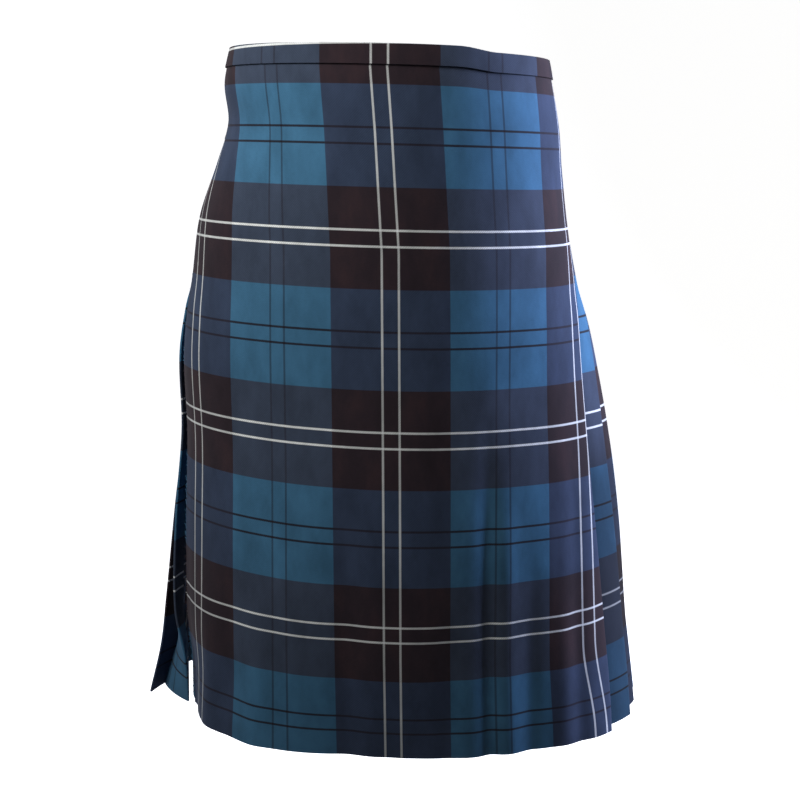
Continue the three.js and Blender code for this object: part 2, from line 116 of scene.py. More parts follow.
# Soft folds of the aprons. Each row has the place along the cloth at the hem, the lean of that
# place towards the top, the half width, the height (a trough is negative), and the drops between
# which the fold grows and fades.
STAYS = (900, 999)
SOFT_FOLDS = [
    (-38, 4, 15, -2.6, (300, 470), STAYS),
    (-84, 0, 22, 1.6, (330, 560), STAYS),
    (88, -8, 8, -2.8, (290, 430), STAYS),
    (106, -10, 9, 1.8, (330, 470), STAYS),
    (126, 8, 8, -1.5, (400, 540), STAYS),
    (20, 6, 30, 1.4, (380, 560), STAYS),
    (52, 3, 12, -1.3, (420, 560), STAYS),
    (0, -5, 9, -0.9, (470, 590), STAYS),
    (158, 4, 11, 1.6, (430, 560), STAYS),
    (176, -6, 9, -1.5, (300, 430), STAYS),
    (-150, 12, 14, -2.4, (420, 560), STAYS),
    (-120, 10, 12, 1.8, (440, 570), STAYS),
    (-180, 6, 10, 1.4, (470, 580), STAYS),
    (60, 0, 40, -0.9, (20, 90), (120, 230)),
    (-110, 0, 26, -1.0, (30, 75), (80, 150)),
    (-22, 0, 34, -2.4, (24, 80), (95, 165)),
    (30, 0, 24, 0.8, (180, 260), (300, 400)),
    (-60, 0, 20, -0.8, (210, 290), (320, 420)),
    (120, 0, 22, -0.9, (160, 240), (290, 380)),
]

# Tartan: half repeats of warp and weft, the first row's drop, and how far the lines of a pair lie
# from the middle of their band
WARP_HALF = 100
WEFT_HALF = 84.24
FIRST_ROW = 32.5
WARP_PAIR = 7.0
WEFT_PAIR = 6.74


def column(name, below, table=LAYERS):
    """A table's column at any drop: a cubic through its rows, sloped as their neighbours are."""
    rows = np.array(table["below"], float)
    values = np.array(table[name], float)
    near = np.clip(np.arange(len(rows))[:, None] + [-1, 1], 0, len(rows) - 1)
    slopes = np.diff(values[near])[:, 0] / np.diff(rows[near])[:, 0]
    i = np.clip(np.searchsorted(rows, below, side="right") - 1, 0, len(rows) - 2)
    span = rows[i + 1] - rows[i]
    t = np.clip((below - rows[i]) / span, 0, 1)
    rise = t * t * (3 - 2 * t)
    bend = t * (1 - t) ** 2 * slopes[i] - t * t * (1 - t) * slopes[i + 1]
    return values[i] + (values[i + 1] - values[i]) * rise + span * bend


def smooth(start, end, value):
    """A soft step: 0 before start, 1 after end."""
    t = np.clip((value - start) / (end - start), 0, 1)
    return t * t * (3 - 2 * t)


def mix(a, b, share):
    """A share of the way from a to b."""
    return a + (b - a) * share


def spaced(start, end, step):
    """Even places from start to end, about a step apart."""
    return np.linspace(start, end, max(2, int(round((end - start) / step)) + 1))


def circle(sides):
    """The turns of a circle's corners."""
    return np.linspace(0, 2 * math.pi, sides, endpoint=False)


def squared(wave, power):
    """A wave pushed out towards plus and minus one, which squares a circle's corners."""
    return np.sign(wave) * np.abs(wave) ** power


def unit(vectors):
    """Vectors brought to a length of one."""
    return vectors / np.linalg.norm(vectors, axis=-1, keepdims=True)


def half_sizes(below, turn):
    """The plan's half-width and half-depth on the side that a turn round it looks to."""
    wide = np.where(np.sin(turn) >= 0, column("right", below, FORM), column("left", below, FORM))
    deep = np.where(np.cos(turn) >= 0, column("front", below, FORM), column("back", below, FORM))
    return wide, deep


# For each of these drops, the turn round the plan at even shares of its girth
GIRTH_ROWS = np.arange(0, LENGTH + 1, 5.0)
GIRTH_SHARES = 1440


def girth_tables():
    """Sums the chords round each plan, and reads the turn back at even shares of that length."""
    turn = np.linspace(0, 2 * math.pi, GIRTH_SHARES + 1)
    wide, deep = half_sizes(GIRTH_ROWS[:, None], turn)
    chords = np.hypot(np.diff(wide * np.sin(turn)), np.diff(deep * np.cos(turn)))
    along = np.concatenate([np.zeros((len(GIRTH_ROWS), 1)), np.cumsum(chords, axis=1)], axis=1)
    girth = along[:, -1]
    shares = np.linspace(0, 1, GIRTH_SHARES + 1)
    turns = np.array([np.interp(shares, row / row[-1], turn) for row in along])
    return girth, turns


GIRTHS, TURNS = girth_tables()


def girth_at(below):
    return np.interp(below, GIRTH_ROWS, GIRTHS)


def top_dip(along, below):
    """How much lower the top edge is sewn towards the photo's right, fading out down the cloth."""
    sideways = smooth(*TOP_DIP["starts"], along) * (1 - smooth(*TOP_DIP["ends"], along))
    return TOP_DIP["depth"] * sideways * (1 - smooth(*TOP_DIP["fades"], below))


def on_cloth(below, along, out):
    """Points of the cloth: round the plan by a length along it, then out along its normal."""
    below, along, out = np.broadcast_arrays(*(np.asarray(a, float) for a in (below, along, out)))
    drop = np.clip(below, 0, LENGTH)
    row = drop / (GIRTH_ROWS[1] - GIRTH_ROWS[0])
    low = np.clip(row.astype(int), 0, len(GIRTH_ROWS) - 2)
    place = (along / girth_at(drop)) % 1 * GIRTH_SHARES
    step = np.clip(place.astype(int), 0, GIRTH_SHARES - 1)
    upper = mix(TURNS[low, step], TURNS[low, step + 1], place - step)
    lower = mix(TURNS[low + 1, step], TURNS[low + 1, step + 1], place - step)
    turn = mix(upper, lower, row - low)
    wide, deep = half_sizes(drop, turn)
    tangent = np.stack([wide * np.cos(turn), deep * np.sin(turn)])
    tangent /= np.hypot(*tangent)
    x = wide * np.sin(turn) + tangent[1] * out
    y = -deep * np.cos(turn) - tangent[0] * out
    z = STRAP_DROP - below - SIDE_DROP * x - top_dip(along, drop)
    return np.stack([x, y, z], axis=-1)


def fold_at(below):
    return column("along", below, FOLD_PATH)


def soft_folds(along, below):
    """The soft folds' sum: each a bell across its path, growing and fading with the drop."""
    total = 0
    for at, lean, half, height, grows, fades in SOFT_FOLDS:
        path = at + lean * (1 - below / LENGTH)
        bell = np.exp(-(((along - path) / half) ** 2))
        total = total + height * bell * smooth(*grows, below) * (1 - smooth(*fades, below))
    return total


def corner(along, below):
    """The rounded corner at the hem on the photo's left: one half wave, its crest near the edge."""
    share = np.clip((-along - CORNER["start"]) / CORNER["width"], 0, 1)
    return column("corner", below) * np.sin(math.pi * share**2)


def apron_out(along, below):
    """How far the over apron stands out: flat in front, lifted or turned in at both edges."""
    left = smooth(LIFT_STARTS, APRON_FREE_EDGE, -along)
    right = smooth(LIFT_STARTS, fold_at(below), along)
    free = column("free_edge", below) - APRON_LIFT
    fold = column("fold", below) - APRON_LIFT
    beside = smooth(*BELLY["rises"], along) - smooth(*BELLY["falls"], along)
    belly = column("belly", below) * beside
    flat = APRON_LIFT + left * free + right * fold + belly
    return flat + corner(along, below) + soft_folds(along, below)


def pleats_end(below):
    return mix(PLEATS_END["hip"], PLEATS_END["hem"], smooth(OPENS, LENGTH, below))


def crease_at(k, below):
    """Crease k along the cloth: even shares, with the first pleat wider low down."""
    extra = FIRST_PLEAT_WIDER * smooth(FELL, LENGTH, below)
    start = fold_at(below)
    end = girth_at(below) - pleats_end(below)
    before = k + np.where(k > 0, extra, 0)
    return start + (end - start) * before / (PLEATS + extra)


def overlap_at(k, below):
    """How far pleat k runs back below its face: a share of the pleat's width."""
    first = np.maximum(k, 1)
    return OVERLAP_SHARE * (crease_at(first, below) - crease_at(first - 1, below))


def crease_out(k, below):
    """How far crease k stands out: the layer's own height, uneven from pleat to pleat low down."""
    opened = smooth(FELL, LENGTH, below)
    wave = np.sin(PLEAT_WAVE["turn"] * k + PLEAT_WAVE["start"])
    uneven = 1 + PLEAT_UNEVENNESS * opened * wave
    out = PLEAT_LIFT + (column("crease", below) - PLEAT_LIFT) * uneven
    out = out + np.where(k == PLEATS - 1, column("before_last", below), 0)
    return np.where(k == PLEATS, column("last_crease", below), out)


# Meshes


def quads(a, b, c, d):
    """Four-cornered faces from four arrays of their corners."""
    return np.stack([a, b, c, d], axis=-1).reshape(-1, 4)


def faces_of_shell(rows, cols):
    """Quads of a closed shell over a grid: its outer side, its inner side and its rim."""
    outer = np.arange(rows * cols).reshape(rows, cols)
    inner = outer + rows * cols
    return np.concatenate([
        quads(outer[:-1, :-1], outer[1:, :-1], outer[1:, 1:], outer[:-1, 1:]),
        quads(inner[:-1, :-1], inner[:-1, 1:], inner[1:, 1:], inner[1:, :-1]),
        quads(outer[0, :-1], outer[0, 1:], inner[0, 1:], inner[0, :-1]),
        quads(outer[-1, :-1], inner[-1, :-1], inner[-1, 1:], outer[-1, 1:]),
        quads(outer[:-1, 0], inner[:-1, 0], inner[1:, 0], outer[1:, 0]),
        quads(outer[:-1, -1], outer[1:, -1], inner[1:, -1], inner[:-1, -1]),
    ])


def faces_of_tube(rings, sides, closed=False):
    """Quads round and along a tube of rings, and round the loop when it is closed."""
    ring = np.arange(rings * sides).reshape(rings, sides)
    near = ring if closed else ring[:-1]
    far = np.roll(ring, -1, axis=0) if closed else ring[1:]
    return quads(near, np.roll(near, -1, axis=1), np.roll(far, -1, axis=1), far)


def end_caps(rings, sides):
    """The first and the last ring of an open tube as faces, both in the order of their points."""
    return [list(range(sides)), list(range((rings - 1) * sides, rings * sides))]


def faces_of_strands(count, rings, sides):
    """Quads and caps of many short tubes whose points follow each other."""
    ring = np.arange(count * rings * sides).reshape(count, rings, sides)
    near, far = ring[:, :-1], ring[:, 1:]
    walls = quads(near, far, np.roll(far, -1, axis=2), np.roll(near, -1, axis=2))
    caps = np.concatenate([ring[:, 0, :], ring[:, -1, ::-1]])
    return [*walls.tolist(), *caps.tolist()]


def smooth_object(name, points, faces, material):
    """A smooth-shaded object from points in metres, in the scene."""
    mesh = bpy.data.meshes.new(name)
    mesh.from_pydata(points.reshape(-1, 3).tolist(), [], [list(f) for f in faces])
    mesh.polygons.foreach_set("use_smooth", np.ones(len(mesh.polygons), bool))
    mesh.materials.append(material)
    made = bpy.data.objects.new(name, mesh)
    scene.collection.objects.link(made)
    return made


def make_mesh(name, points, faces, material, threads=None, sharp=40, shaded=None):
    """A piece from points in millimetres. Threads are the place of each point on the loom, for its
    UV map, and shaded is each point's share of the painted shade, darkened into the cloth's colour
    where the apron would shade it."""
    piece = smooth_object(name, points * METRE, faces, material)
    mesh = piece.data
    mesh.set_sharp_from_angle(angle=math.radians(sharp))
    if threads is not None:
        corners = np.empty(len(mesh.loops), np.int32)
        mesh.loops.foreach_get("vertex_index", corners)
        loom = mesh.uv_layers.new(name="loom")
        loom.data.foreach_set("uv", (threads[corners] * METRE).ravel())
    if shaded is not None:
        mesh.attributes.new("shaded", "FLOAT", "POINT").data.foreach_set("value", shaded)
    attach(piece, "root")
    return piece


def shell(name, middle, threads, thickness, shaded=None):
    """A cloth wall: the middle surface moved half its thickness both ways along its own normal."""
    normal = unit(np.cross(np.gradient(middle, axis=0), np.gradient(middle, axis=1)))
    points = np.stack([middle + normal * thickness / 2, middle - normal * thickness / 2])
    loom = np.tile(threads.reshape(-1, 2), (2, 1))
    if shaded is not None:
        shaded = np.tile(shaded.ravel(), 2)
    faces = faces_of_shell(*middle.shape[:2])
    return make_mesh(name, points, faces, TARTAN, loom, shaded=shaded)


# Materials


class Graph:
    """A material's node tree with short ways to add sums, mixtures, soft steps, noise and bumps."""

    def __init__(self, name):
        self.material = bpy.data.materials.new(name)
        self.material.use_nodes = True
        self.tree = self.material.node_tree
        self.shader = self.tree.nodes["Principled BSDF"]

    def link(self, target, value):
        """Joins a socket to another one, or gives it a value of its own."""
        if isinstance(value, bpy.types.NodeSocket):
            self.tree.links.new(value, target)
        else:
            target.default_value = value

    def node(self, kind, settings=None, **sockets):
        made = self.tree.nodes.new(kind)
        for key, value in (settings or {}).items():
            setattr(made, key, value)
        for key, value in sockets.items():
            self.link(made.inputs[key.replace("_", " ")], value)
        return made

    def math(self, operation, *values):
        made = self.node("ShaderNodeMath", {"operation": operation})
        for socket, value in zip(made.inputs, values):
            self.link(socket, value)
        return made.outputs[0]

    def mixed(self, share, a, b, blend="MIX"):
        settings = {"data_type": "RGBA", "blend_type": blend}
        return self.node("ShaderNodeMix", settings, Factor=share, A=a, B=b).outputs["Result"]

    def step(self, value, low, high):
        """0 below low and 1 above high; low and high may be the other way round."""
        settings = {"interpolation_type": "SMOOTHSTEP"}
        made = self.node("ShaderNodeMapRange", settings, Value=value, From_Min=low, From_Max=high)
        return made.outputs["Result"]

    def object_place(self):
        return self.node("ShaderNodeTexCoord").outputs["Object"]

    def noise(self, vector, scale, detail=2.0, roughness=0.5, stretch=None):
        if stretch:
            vector = self.node("ShaderNodeMapping", Vector=vector, Scale=stretch).outputs["Vector"]
        sockets = {"Scale": scale, "Detail": detail, "Roughness": roughness}
        return self.node("ShaderNodeTexNoise", Vector=vector, **sockets).outputs["Fac"]

    def bump(self, height, distance, strength):
        made = self.node("ShaderNodeBump", Height=height, Distance=distance, Strength=strength)
        return made.outputs["Normal"]

    def finish(self, colour, **sockets):
        """Fills the shader's sockets and returns the material."""
        self.link(self.shader.inputs["Base Color"], colour)
        for key, value in sockets.items():
            self.link(self.shader.inputs[key.replace("_", " ")], value)
        return self.material


# Colours of the ground by what crosses: warp first, weft second
BLUE_BLUE = (0.042, 0.128, 0.255, 1)
BLUE_DARK = (0.038, 0.052, 0.095, 1)
DARK_BLUE = (0.0305, 0.0455, 0.0950, 1)
DARK_DARK = (0.0235, 0.0165, 0.0245, 1)
RED_DARK = (0.0275, 0.0170, 0.0235, 1)
WHITE_YARN = (0.73, 0.77, 0.88, 1)
BLACK_YARN = (0.013, 0.007, 0.009, 1)

YARN_PITCH = 0.52
LINE_HALF = {"white": 0.92, "black": 0.95}
EDGE_SOFTNESS = 0.35
TWILL_EDGES = (0.4, 1.6)
# The share of a crossing that a line covers, what the twill adds or takes, and what a strong line
# or one over blue has more
COVER = {"warp": 0.50, "weft": 0.52, "twill": 0.16, "strong": 0.12}
COVER_OVER_BLUE = {"warp": 0.12, "weft": 0.18}
# How strongly the twill shows: everywhere, and more where blue and dark cross
TWILL_CONTRAST = {"ground": 0.05, "crossing": 0.14}
# Noises on the loom: broad clouds, slubs drawn out along the yarns, and a fine fuzz
CLOUDS = {"scale": 42.0, "detail": 4.0, "roughness": 0.6, "stretch": (1.0, 0.45, 1.0)}
RUDDY_CLOUDS = (0.42, 0.70)
SLUBS = {"scale": 240.0, "stretch": (1.0, 7.0, 1.0)}
FUZZ = {"scale": 1500.0, "detail": 1.0}
WEAR = {"slubs": 0.26, "least": 0.37}
RELIEF = {"slubs": 0.6, "twill": 0.3, "fuzz": 0.35, "depth": 0.0002, "strength": 0.5}
# How far the painted shade darkens the cloth's colour where it is full
PAINTED_SHADE_STRENGTH = 0.66


def yarn_stripes(graph, distance, half_repeat, pair):
    """Shares of one set of yarns by the distance from the middle of a dark band: blue beyond the
    half repeat's middle, a white line in the dark band and a black line in the blue one."""
    edge = half_repeat / 2
    blue = graph.step(distance, (edge - EDGE_SOFTNESS) * METRE, (edge + EDGE_SOFTNESS) * METRE)

    def line(place, half):
        away = graph.math("ABSOLUTE", graph.math("SUBTRACT", distance, place * METRE))
        return graph.step(away, (half + EDGE_SOFTNESS) * METRE, (half - EDGE_SOFTNESS) * METRE)

    return blue, line(pair, LINE_HALF["white"]), line(half_repeat - pair, LINE_HALF["black"])


def cover(graph, yarns, twill, crossed_blue):
    """The share of a crossing that a line covers, as the twill brings its yarns up or down."""
    lift = COVER["twill"] if yarns == "weft" else -COVER["twill"]
    over = graph.math("MULTIPLY_ADD", crossed_blue, COVER_OVER_BLUE[yarns], COVER[yarns])
    return graph.math("MULTIPLY_ADD", twill, lift, over)


def tartan(name, weft_only=False):
    """Wool tartan in a two-and-two twill. Each yarn line covers part of what it crosses, more where
    the twill brings it up: weft lines more than warp lines, and more over blue than over dark."""
    graph = Graph(name)
    loom = graph.node("ShaderNodeUVMap", {"uv_map": "loom"}).outputs["UV"]
    place = graph.node("ShaderNodeSeparateXYZ", Vector=loom)
    u, v = place.outputs["X"], place.outputs["Y"]
    first_dark = graph.math("SUBTRACT", v, (FIRST_ROW + 1.5 * WEFT_HALF) * METRE)
    weft = graph.math("PINGPONG", first_dark, WEFT_HALF * METRE)
    weft_blue, weft_white, weft_black = yarn_stripes(graph, weft, WEFT_HALF, WEFT_PAIR)
    end = graph.math("DIVIDE", u, YARN_PITCH * METRE)
    pick = graph.math("DIVIDE", v, YARN_PITCH * METRE)
    diagonal = graph.math("PINGPONG", graph.math("ADD", end, pick), 2.0)
    twill = graph.step(diagonal, *TWILL_EDGES)
    clouds = graph.noise(loom, **CLOUDS)
    if weft_only:
        colour = graph.mixed(weft_blue, DARK_DARK, BLUE_BLUE)
        colour = graph.mixed(weft_black, colour, BLACK_YARN)
        colour = graph.mixed(weft_white, colour, WHITE_YARN)
        contrast = TWILL_CONTRAST["ground"]
    else:
        warp = graph.math("PINGPONG", u, WARP_HALF * METRE)
        warp_blue, warp_white, warp_black = yarn_stripes(graph, warp, WARP_HALF, WARP_PAIR)
        dark = graph.mixed(graph.step(clouds, *RUDDY_CLOUDS), DARK_DARK, RED_DARK)
        on_dark = graph.mixed(warp_blue, dark, BLUE_DARK)
        on_blue = graph.mixed(warp_blue, DARK_BLUE, BLUE_BLUE)
        colour = graph.mixed(weft_blue, on_dark, on_blue)
        warp_up = cover(graph, "warp", twill, weft_blue)
        warp_strong = graph.math("ADD", warp_up, COVER["strong"])
        weft_strong = graph.math("ADD", cover(graph, "weft", twill, warp_blue), COVER["strong"])
        for share, covered, yarn in (
            (warp_black, warp_up, BLACK_YARN),
            (weft_black, weft_strong, BLACK_YARN),
            (warp_white, warp_strong, WHITE_YARN),
            (weft_white, weft_strong, WHITE_YARN),
        ):
            colour = graph.mixed(graph.math("MULTIPLY", share, covered), colour, yarn)
        crossing = graph.math("ABSOLUTE", graph.math("SUBTRACT", warp_blue, weft_blue))
        more, ground = TWILL_CONTRAST["crossing"], TWILL_CONTRAST["ground"]
        contrast = graph.math("MULTIPLY_ADD", crossing, more, ground)
    slubs = graph.noise(loom, **SLUBS)
    wear = graph.math("MULTIPLY_ADD", slubs, WEAR["slubs"], WEAR["least"])
    wear = graph.math("ADD", clouds, wear)
    woven = graph.math("MULTIPLY_ADD", graph.math("SUBTRACT", twill, 0.5), contrast, wear)
    # Painted shade: the mesh attribute 'shaded' darkens the colour where the apron would shade the
    # first pleats
    shaded = graph.node("ShaderNodeAttribute", {"attribute_name": "shaded"}).outputs["Fac"]
    light = graph.math("MULTIPLY_ADD", shaded, -PAINTED_SHADE_STRENGTH, 1.0)
    woven = graph.math("MULTIPLY", woven, light)
    shade = graph.node("ShaderNodeCombineXYZ", X=woven, Y=woven, Z=woven).outputs["Vector"]
    rib = graph.math("MULTIPLY", twill, RELIEF["twill"])
    rib = graph.math("MULTIPLY_ADD", slubs, RELIEF["slubs"], rib)
    height = graph.math("MULTIPLY_ADD", graph.noise(loom, **FUZZ), RELIEF["fuzz"], rib)
    return graph.finish(
        graph.mixed(1.0, colour, shade, "MULTIPLY"),
        Normal=graph.bump(height, RELIEF["depth"], RELIEF["strength"]),
        Roughness=0.8,
        Specular_IOR_Level=0.03,
        Sheen_Weight=0.06,
        Sheen_Roughness=0.45,
        Sheen_Tint=(0.85, 0.88, 1.0, 1),
    )


def leather(name):
    """Black strap leather: fine pebbles from a cell pattern, worn lighter in soft patches."""
    graph = Graph(name)
    place = graph.object_place()
    cells = graph.node("ShaderNodeTexVoronoi", Vector=place, Scale=900.0).outputs["Distance"]
    patches = graph.noise(place, 60.0, 4.0)
    worn = graph.step(patches, 0.35, 0.75)
    return graph.finish(
        graph.mixed(worn, (0.011, 0.009, 0.008, 1), (0.032, 0.026, 0.022, 1)),
        Roughness=graph.math("MULTIPLY_ADD", patches, 0.3, 0.3),
        Normal=graph.bump(cells, 0.0004, 0.4),
    )


def polished_steel(name):
    """Buckle metal: bright, with faint scratches drawn out along one way."""
    graph = Graph(name)
    scratches = graph.noise(graph.object_place(), 500.0, 3.0, stretch=(1.0, 1.0, 14.0))
    return graph.finish(
        graph.mixed(scratches, (0.62, 0.63, 0.65, 1), (0.80, 0.80, 0.81, 1)),
        Roughness=graph.math("MULTIPLY_ADD", scratches, 0.2, 0.12),
        Metallic=1.0,
        Normal=graph.bump(scratches, 0.00005, 0.3),
    )


def sewing_thread(name, colour):
    """Waxed thread: a plain colour under the fine ribs of its twist."""
    graph = Graph(name)
    twist = graph.noise(graph.object_place(), 2500.0, 1.0)
    darker = tuple(0.7 * c for c in colour[:3]) + (1,)
    mottled = graph.mixed(twist, darker, colour)
    return graph.finish(mottled, Normal=graph.bump(twist, 0.0001, 0.5), Roughness=0.6)


def studio_white(name):
    """The pale floor and backdrop: near white, with a hardly visible unevenness."""
    graph = Graph(name)
    clouds = graph.noise(graph.object_place(), 2.0)
    return graph.finish(
        graph.mixed(clouds, (0.90, 0.90, 0.90, 1), (0.93, 0.93, 0.93, 1)),
        Roughness=0.9,
        Specular_IOR_Level=0.1,
        Emission_Color=(1.0, 1.0, 1.0, 1),
        Emission_Strength=0.92,
    )


TARTAN = tartan("tartan_wool")
FRINGE_WOOL = tartan("tartan_fringe_wool", weft_only=True)
LEATHER = leather("black_leather")
STEEL = polished_steel("polished_steel")
DARK_THREAD = sewing_thread("dark_sewing_thread", (0.03, 0.03, 0.04, 1))


# Cloth pieces

# Where the tartan's middle runs on the apron: leaning to the photo's left near the waist
PATTERN_MIDDLE = {
    "below": [0, 70, 170, 270, 370, 520, 610],
    "along": [-10, -5, 0.7, 1.2, 1.7, 2.2, 3.2],
}
# How far the pattern is drawn in towards the apron's edges: over what width, and between what drops
DRIFT_RIGHT = {"far": 6.0, "across": (60, 150), "grows": (150, 330)}
DRIFT_AT_FOLD = {"far": 8.0, "across": (130, 180), "grows": (150, 250), "fades": (520, 600)}
DRIFT_LEFT = {"far": 2.6, "more": 1.2, "across": (60, 130), "fades": (60, 260)}


def pattern_middle(below):
    return np.interp(below, PATTERN_MIDDLE["below"], PATTERN_MIDDLE["along"])


def pattern_drift(along, below):
    """How much further in the pattern lies towards both edges, where the cloth turns away."""
    right = DRIFT_RIGHT["far"] * smooth(*DRIFT_RIGHT["across"], along)
    right = right * smooth(*DRIFT_RIGHT["grows"], below)
    fold = DRIFT_AT_FOLD["far"] * smooth(*DRIFT_AT_FOLD["across"], along)
    fold = fold * smooth(*DRIFT_AT_FOLD["grows"], below)
    fold = fold * (1 - smooth(*DRIFT_AT_FOLD["fades"], below))
    left = DRIFT_LEFT["far"] + DRIFT_LEFT["more"] * (1 - smooth(*DRIFT_LEFT["fades"], below))
    return right + fold - left * smooth(*DRIFT_LEFT["across"], -along)


def threads_at(u, below):
    """Places on the loom: u across the warp, and the drop down it."""
    return np.stack([u, np.broadcast_to(below, u.shape)], axis=-1)


# The over apron's grid and the width that its steps share out, the turns round its folded edge, and
# the places of the turn-under, which sinks as it runs back
APRON_GRID = {"step": 3.2, "width": 447}
APRON_FOLD_TURN = np.radians(np.linspace(80, -90, 6))
TURN_UNDER_PLACES = np.linspace(0.15, 1, 5)
TURN_UNDER_SINKS = 0.35


def over_apron():
    """The flat front: a grid of drops by places, a half circle and a turn-under."""
    below = spaced(0, LENGTH, APRON_GRID["step"])[:, None]
    fold = fold_at(below)
    share = spaced(0, 1, APRON_GRID["step"] / APRON_GRID["width"])
    face = mix(-APRON_FREE_EDGE, fold - FOLD_RADIUS, share)
    face_out = apron_out(face, below)
    edge_out = face_out[:, -1:]
    turn = APRON_FOLD_TURN
    back = TURN_UNDER_PLACES
    along = np.concatenate([
        face,
        fold - FOLD_RADIUS + FOLD_RADIUS * np.cos(turn),
        fold - FOLD_RADIUS - back * APRON_TURN_UNDER,
    ], axis=1)
    out = np.concatenate([
        face_out,
        edge_out - FOLD_RADIUS + FOLD_RADIUS * np.sin(turn),
        edge_out - 2 * FOLD_RADIUS - TURN_UNDER_SINKS * back,
    ], axis=1)
    u = np.concatenate([
        face,
        fold + (math.pi / 2 - turn) * FOLD_RADIUS,
        fold + math.pi * FOLD_RADIUS + back * APRON_TURN_UNDER,
    ], axis=1)
    u = u - pattern_middle(below) + pattern_drift(u, below)
    middle = on_cloth(below, along, out)
    return shell("cloth_over_apron", middle, threads_at(u, below), CLOTH["apron"])


# The under apron's grid: its step down and its share across, and how far it starts past the last
# turn
UNDER_GRID = {"step": 5, "share": 0.011}
UNDER_STARTS = 3


def under_start(below):
    """Where the under apron begins, below the last pleat."""
    return -pleats_end(below) - overlap_at(PLEATS, below) + UNDER_STARTS


def under_apron():
    """The panel beneath: a grid that runs from below the last pleat to the photo's right hip."""
    below = spaced(0, LENGTH, UNDER_GRID["step"])[:, None]
    along = mix(under_start(below), UNDER_APRON_END, spaced(0, 1, UNDER_GRID["share"]))
    edge = smooth(LIFT_STARTS, APRON_FREE_EDGE, -along)
    out = mix(UNDER_LIFT, column("under_edge", below), edge)
    out = out + corner(along, below) + soft_folds(along, below)
    u = along - pattern_middle(below) + WARP_HALF
    middle = on_cloth(below, along, out)
    return shell("cloth_under_apron", middle, threads_at(u, below), CLOTH["plain"])


# Where each pleat's crease falls on the tartan, past the middle of its own band
CREASE_PAST_MIDDLE = 31
FIRST_CREASE_PAST_MIDDLE = 46
# How much higher the pattern's rows lie on the first pleats than on the apron, and from and to
# which pleat that fades
PATTERN_HIGHER = 5
HIGHER_FADES = (2, 9)
# Painted shade: the first pleats' colour is darkened where the apron would shade them. The drops
# between which it starts, and the pleats between which it fades
PAINTED_SHADE_FROM = (310, 385)
PAINTED_SHADE_FADES = (2, 6)
# A pleat's grid: places on its face, below it and in the fold into the next one, the turns of a
# fold, the crease's step back and the cloth that the crease takes
PLEAT_STEP = 6
FACE_PLACES = np.concatenate([np.linspace(0, 0.9, 10), [0.95, 0.98]])
UNDER_PLACES = np.linspace(0.12, 0.96, 6)
INNER_PLACES = np.linspace(0.2, 0.8, 4)
HALF_TURN = np.radians(np.linspace(90, -90, 6))
CREASE_STEPS_BACK = 0.1
CREASE_CLOTH = 2
# Low down each face swells, most a little behind its middle, and not the same on each pleat
SWELL = {"middle": 0.9, "more": 0.5, "turn": 1.7, "power": 0.8}


def pleat_cloth(name, first, last):
    """A run of knife pleats. Each face rises to its crease, rolls over it, runs back beneath and
    rolls into the next face. Faces are laid so that blue and dark bands of the tartan take
    turns."""
    below = spaced(0, LENGTH, PLEAT_STEP)[:, None, None]
    k = np.arange(first, last + 1)[None, :, None]
    crease = crease_at(k, below)
    bend = crease - CREASE_STEPS_BACK
    start = crease_at(k - 1, below) - overlap_at(k - 1, below)
    turn_place = crease - overlap_at(k, below)
    start_out = np.where(k == PLEATS, column("last_face", below), PLEAT_LIFT)
    out = crease_out(k, below)
    next_out = np.where(k + 1 == PLEATS, column("last_face", below), PLEAT_LIFT)
    end_out = np.where(k == PLEATS, column("last_turn", below), next_out + 2 * FOLD_RADIUS)
    over, inner = HALF_TURN, HALF_TURN[1:-1]

    swell = SWELL["middle"] + SWELL["more"] * np.sin(SWELL["turn"] * k)
    opened = smooth(FELL, LENGTH, below)
    roundness = opened * swell * np.sin(math.pi * FACE_PLACES ** SWELL["power"])
    face_along = mix(start, bend, FACE_PLACES)
    under_along = mix(bend, turn_place, UNDER_PLACES)

    band = WARP_HALF * k
    past = np.where(k == 1, FIRST_CREASE_PAST_MIDDLE, CREASE_PAST_MIDDLE)
    under_u = band + past + CREASE_CLOTH + (crease - under_along)
    next_u = band + WARP_HALF + CREASE_PAST_MIDDLE - (crease_at(k + 1, below) - turn_place)

    def joined(*parts):
        """The parts of each pleat side by side, pleat after pleat, without the last one's inner
        fold."""
        full = np.broadcast_shapes(below.shape, k.shape)
        parts = [np.broadcast_to(p, full[:2] + p.shape[-1:]) for p in parts]
        whole = np.concatenate(parts, axis=-1).reshape(len(below), -1)
        return whole[:, : -len(inner)]

    along = joined(
        face_along,
        bend + FOLD_RADIUS * np.cos(over),
        under_along,
        turn_place - FOLD_RADIUS * np.cos(inner),
    )
    outs = joined(
        mix(start_out, out, FACE_PLACES) + roundness,
        out - FOLD_RADIUS + FOLD_RADIUS * np.sin(over),
        mix(out - 2 * FOLD_RADIUS, end_out, UNDER_PLACES),
        next_out + FOLD_RADIUS + FOLD_RADIUS * np.sin(inner),
    )
    u = joined(
        band + past - (crease - face_along),
        band + past + CREASE_CLOTH * (0.5 - over / math.pi),
        under_u,
        mix(under_u[..., -1:], next_u, INNER_PLACES),
    )
    pleat = joined(*(k + 0 * places for places in (FACE_PLACES, over, UNDER_PLACES, inner)))
    below = below[..., 0]
    v = below + PATTERN_HIGHER * (1 - smooth(*HIGHER_FADES, pleat))
    # Painted shade: the first pleats are darkened low down, fading out pleat by pleat
    shaded = smooth(*PAINTED_SHADE_FROM, below) * (1 - smooth(*PAINTED_SHADE_FADES, pleat))
    middle = on_cloth(below, along, outs)
    return shell(name, middle, np.stack([u, v], axis=-1), CLOTH["plain"], shaded)


FRINGE = {"top": 17, "strip": 2.4, "length": 9.5, "thick": 0.42}
STRANDS = {"count": 260, "rings": 5, "sides": 3}
FRINGE_STRIP_STEP = 4


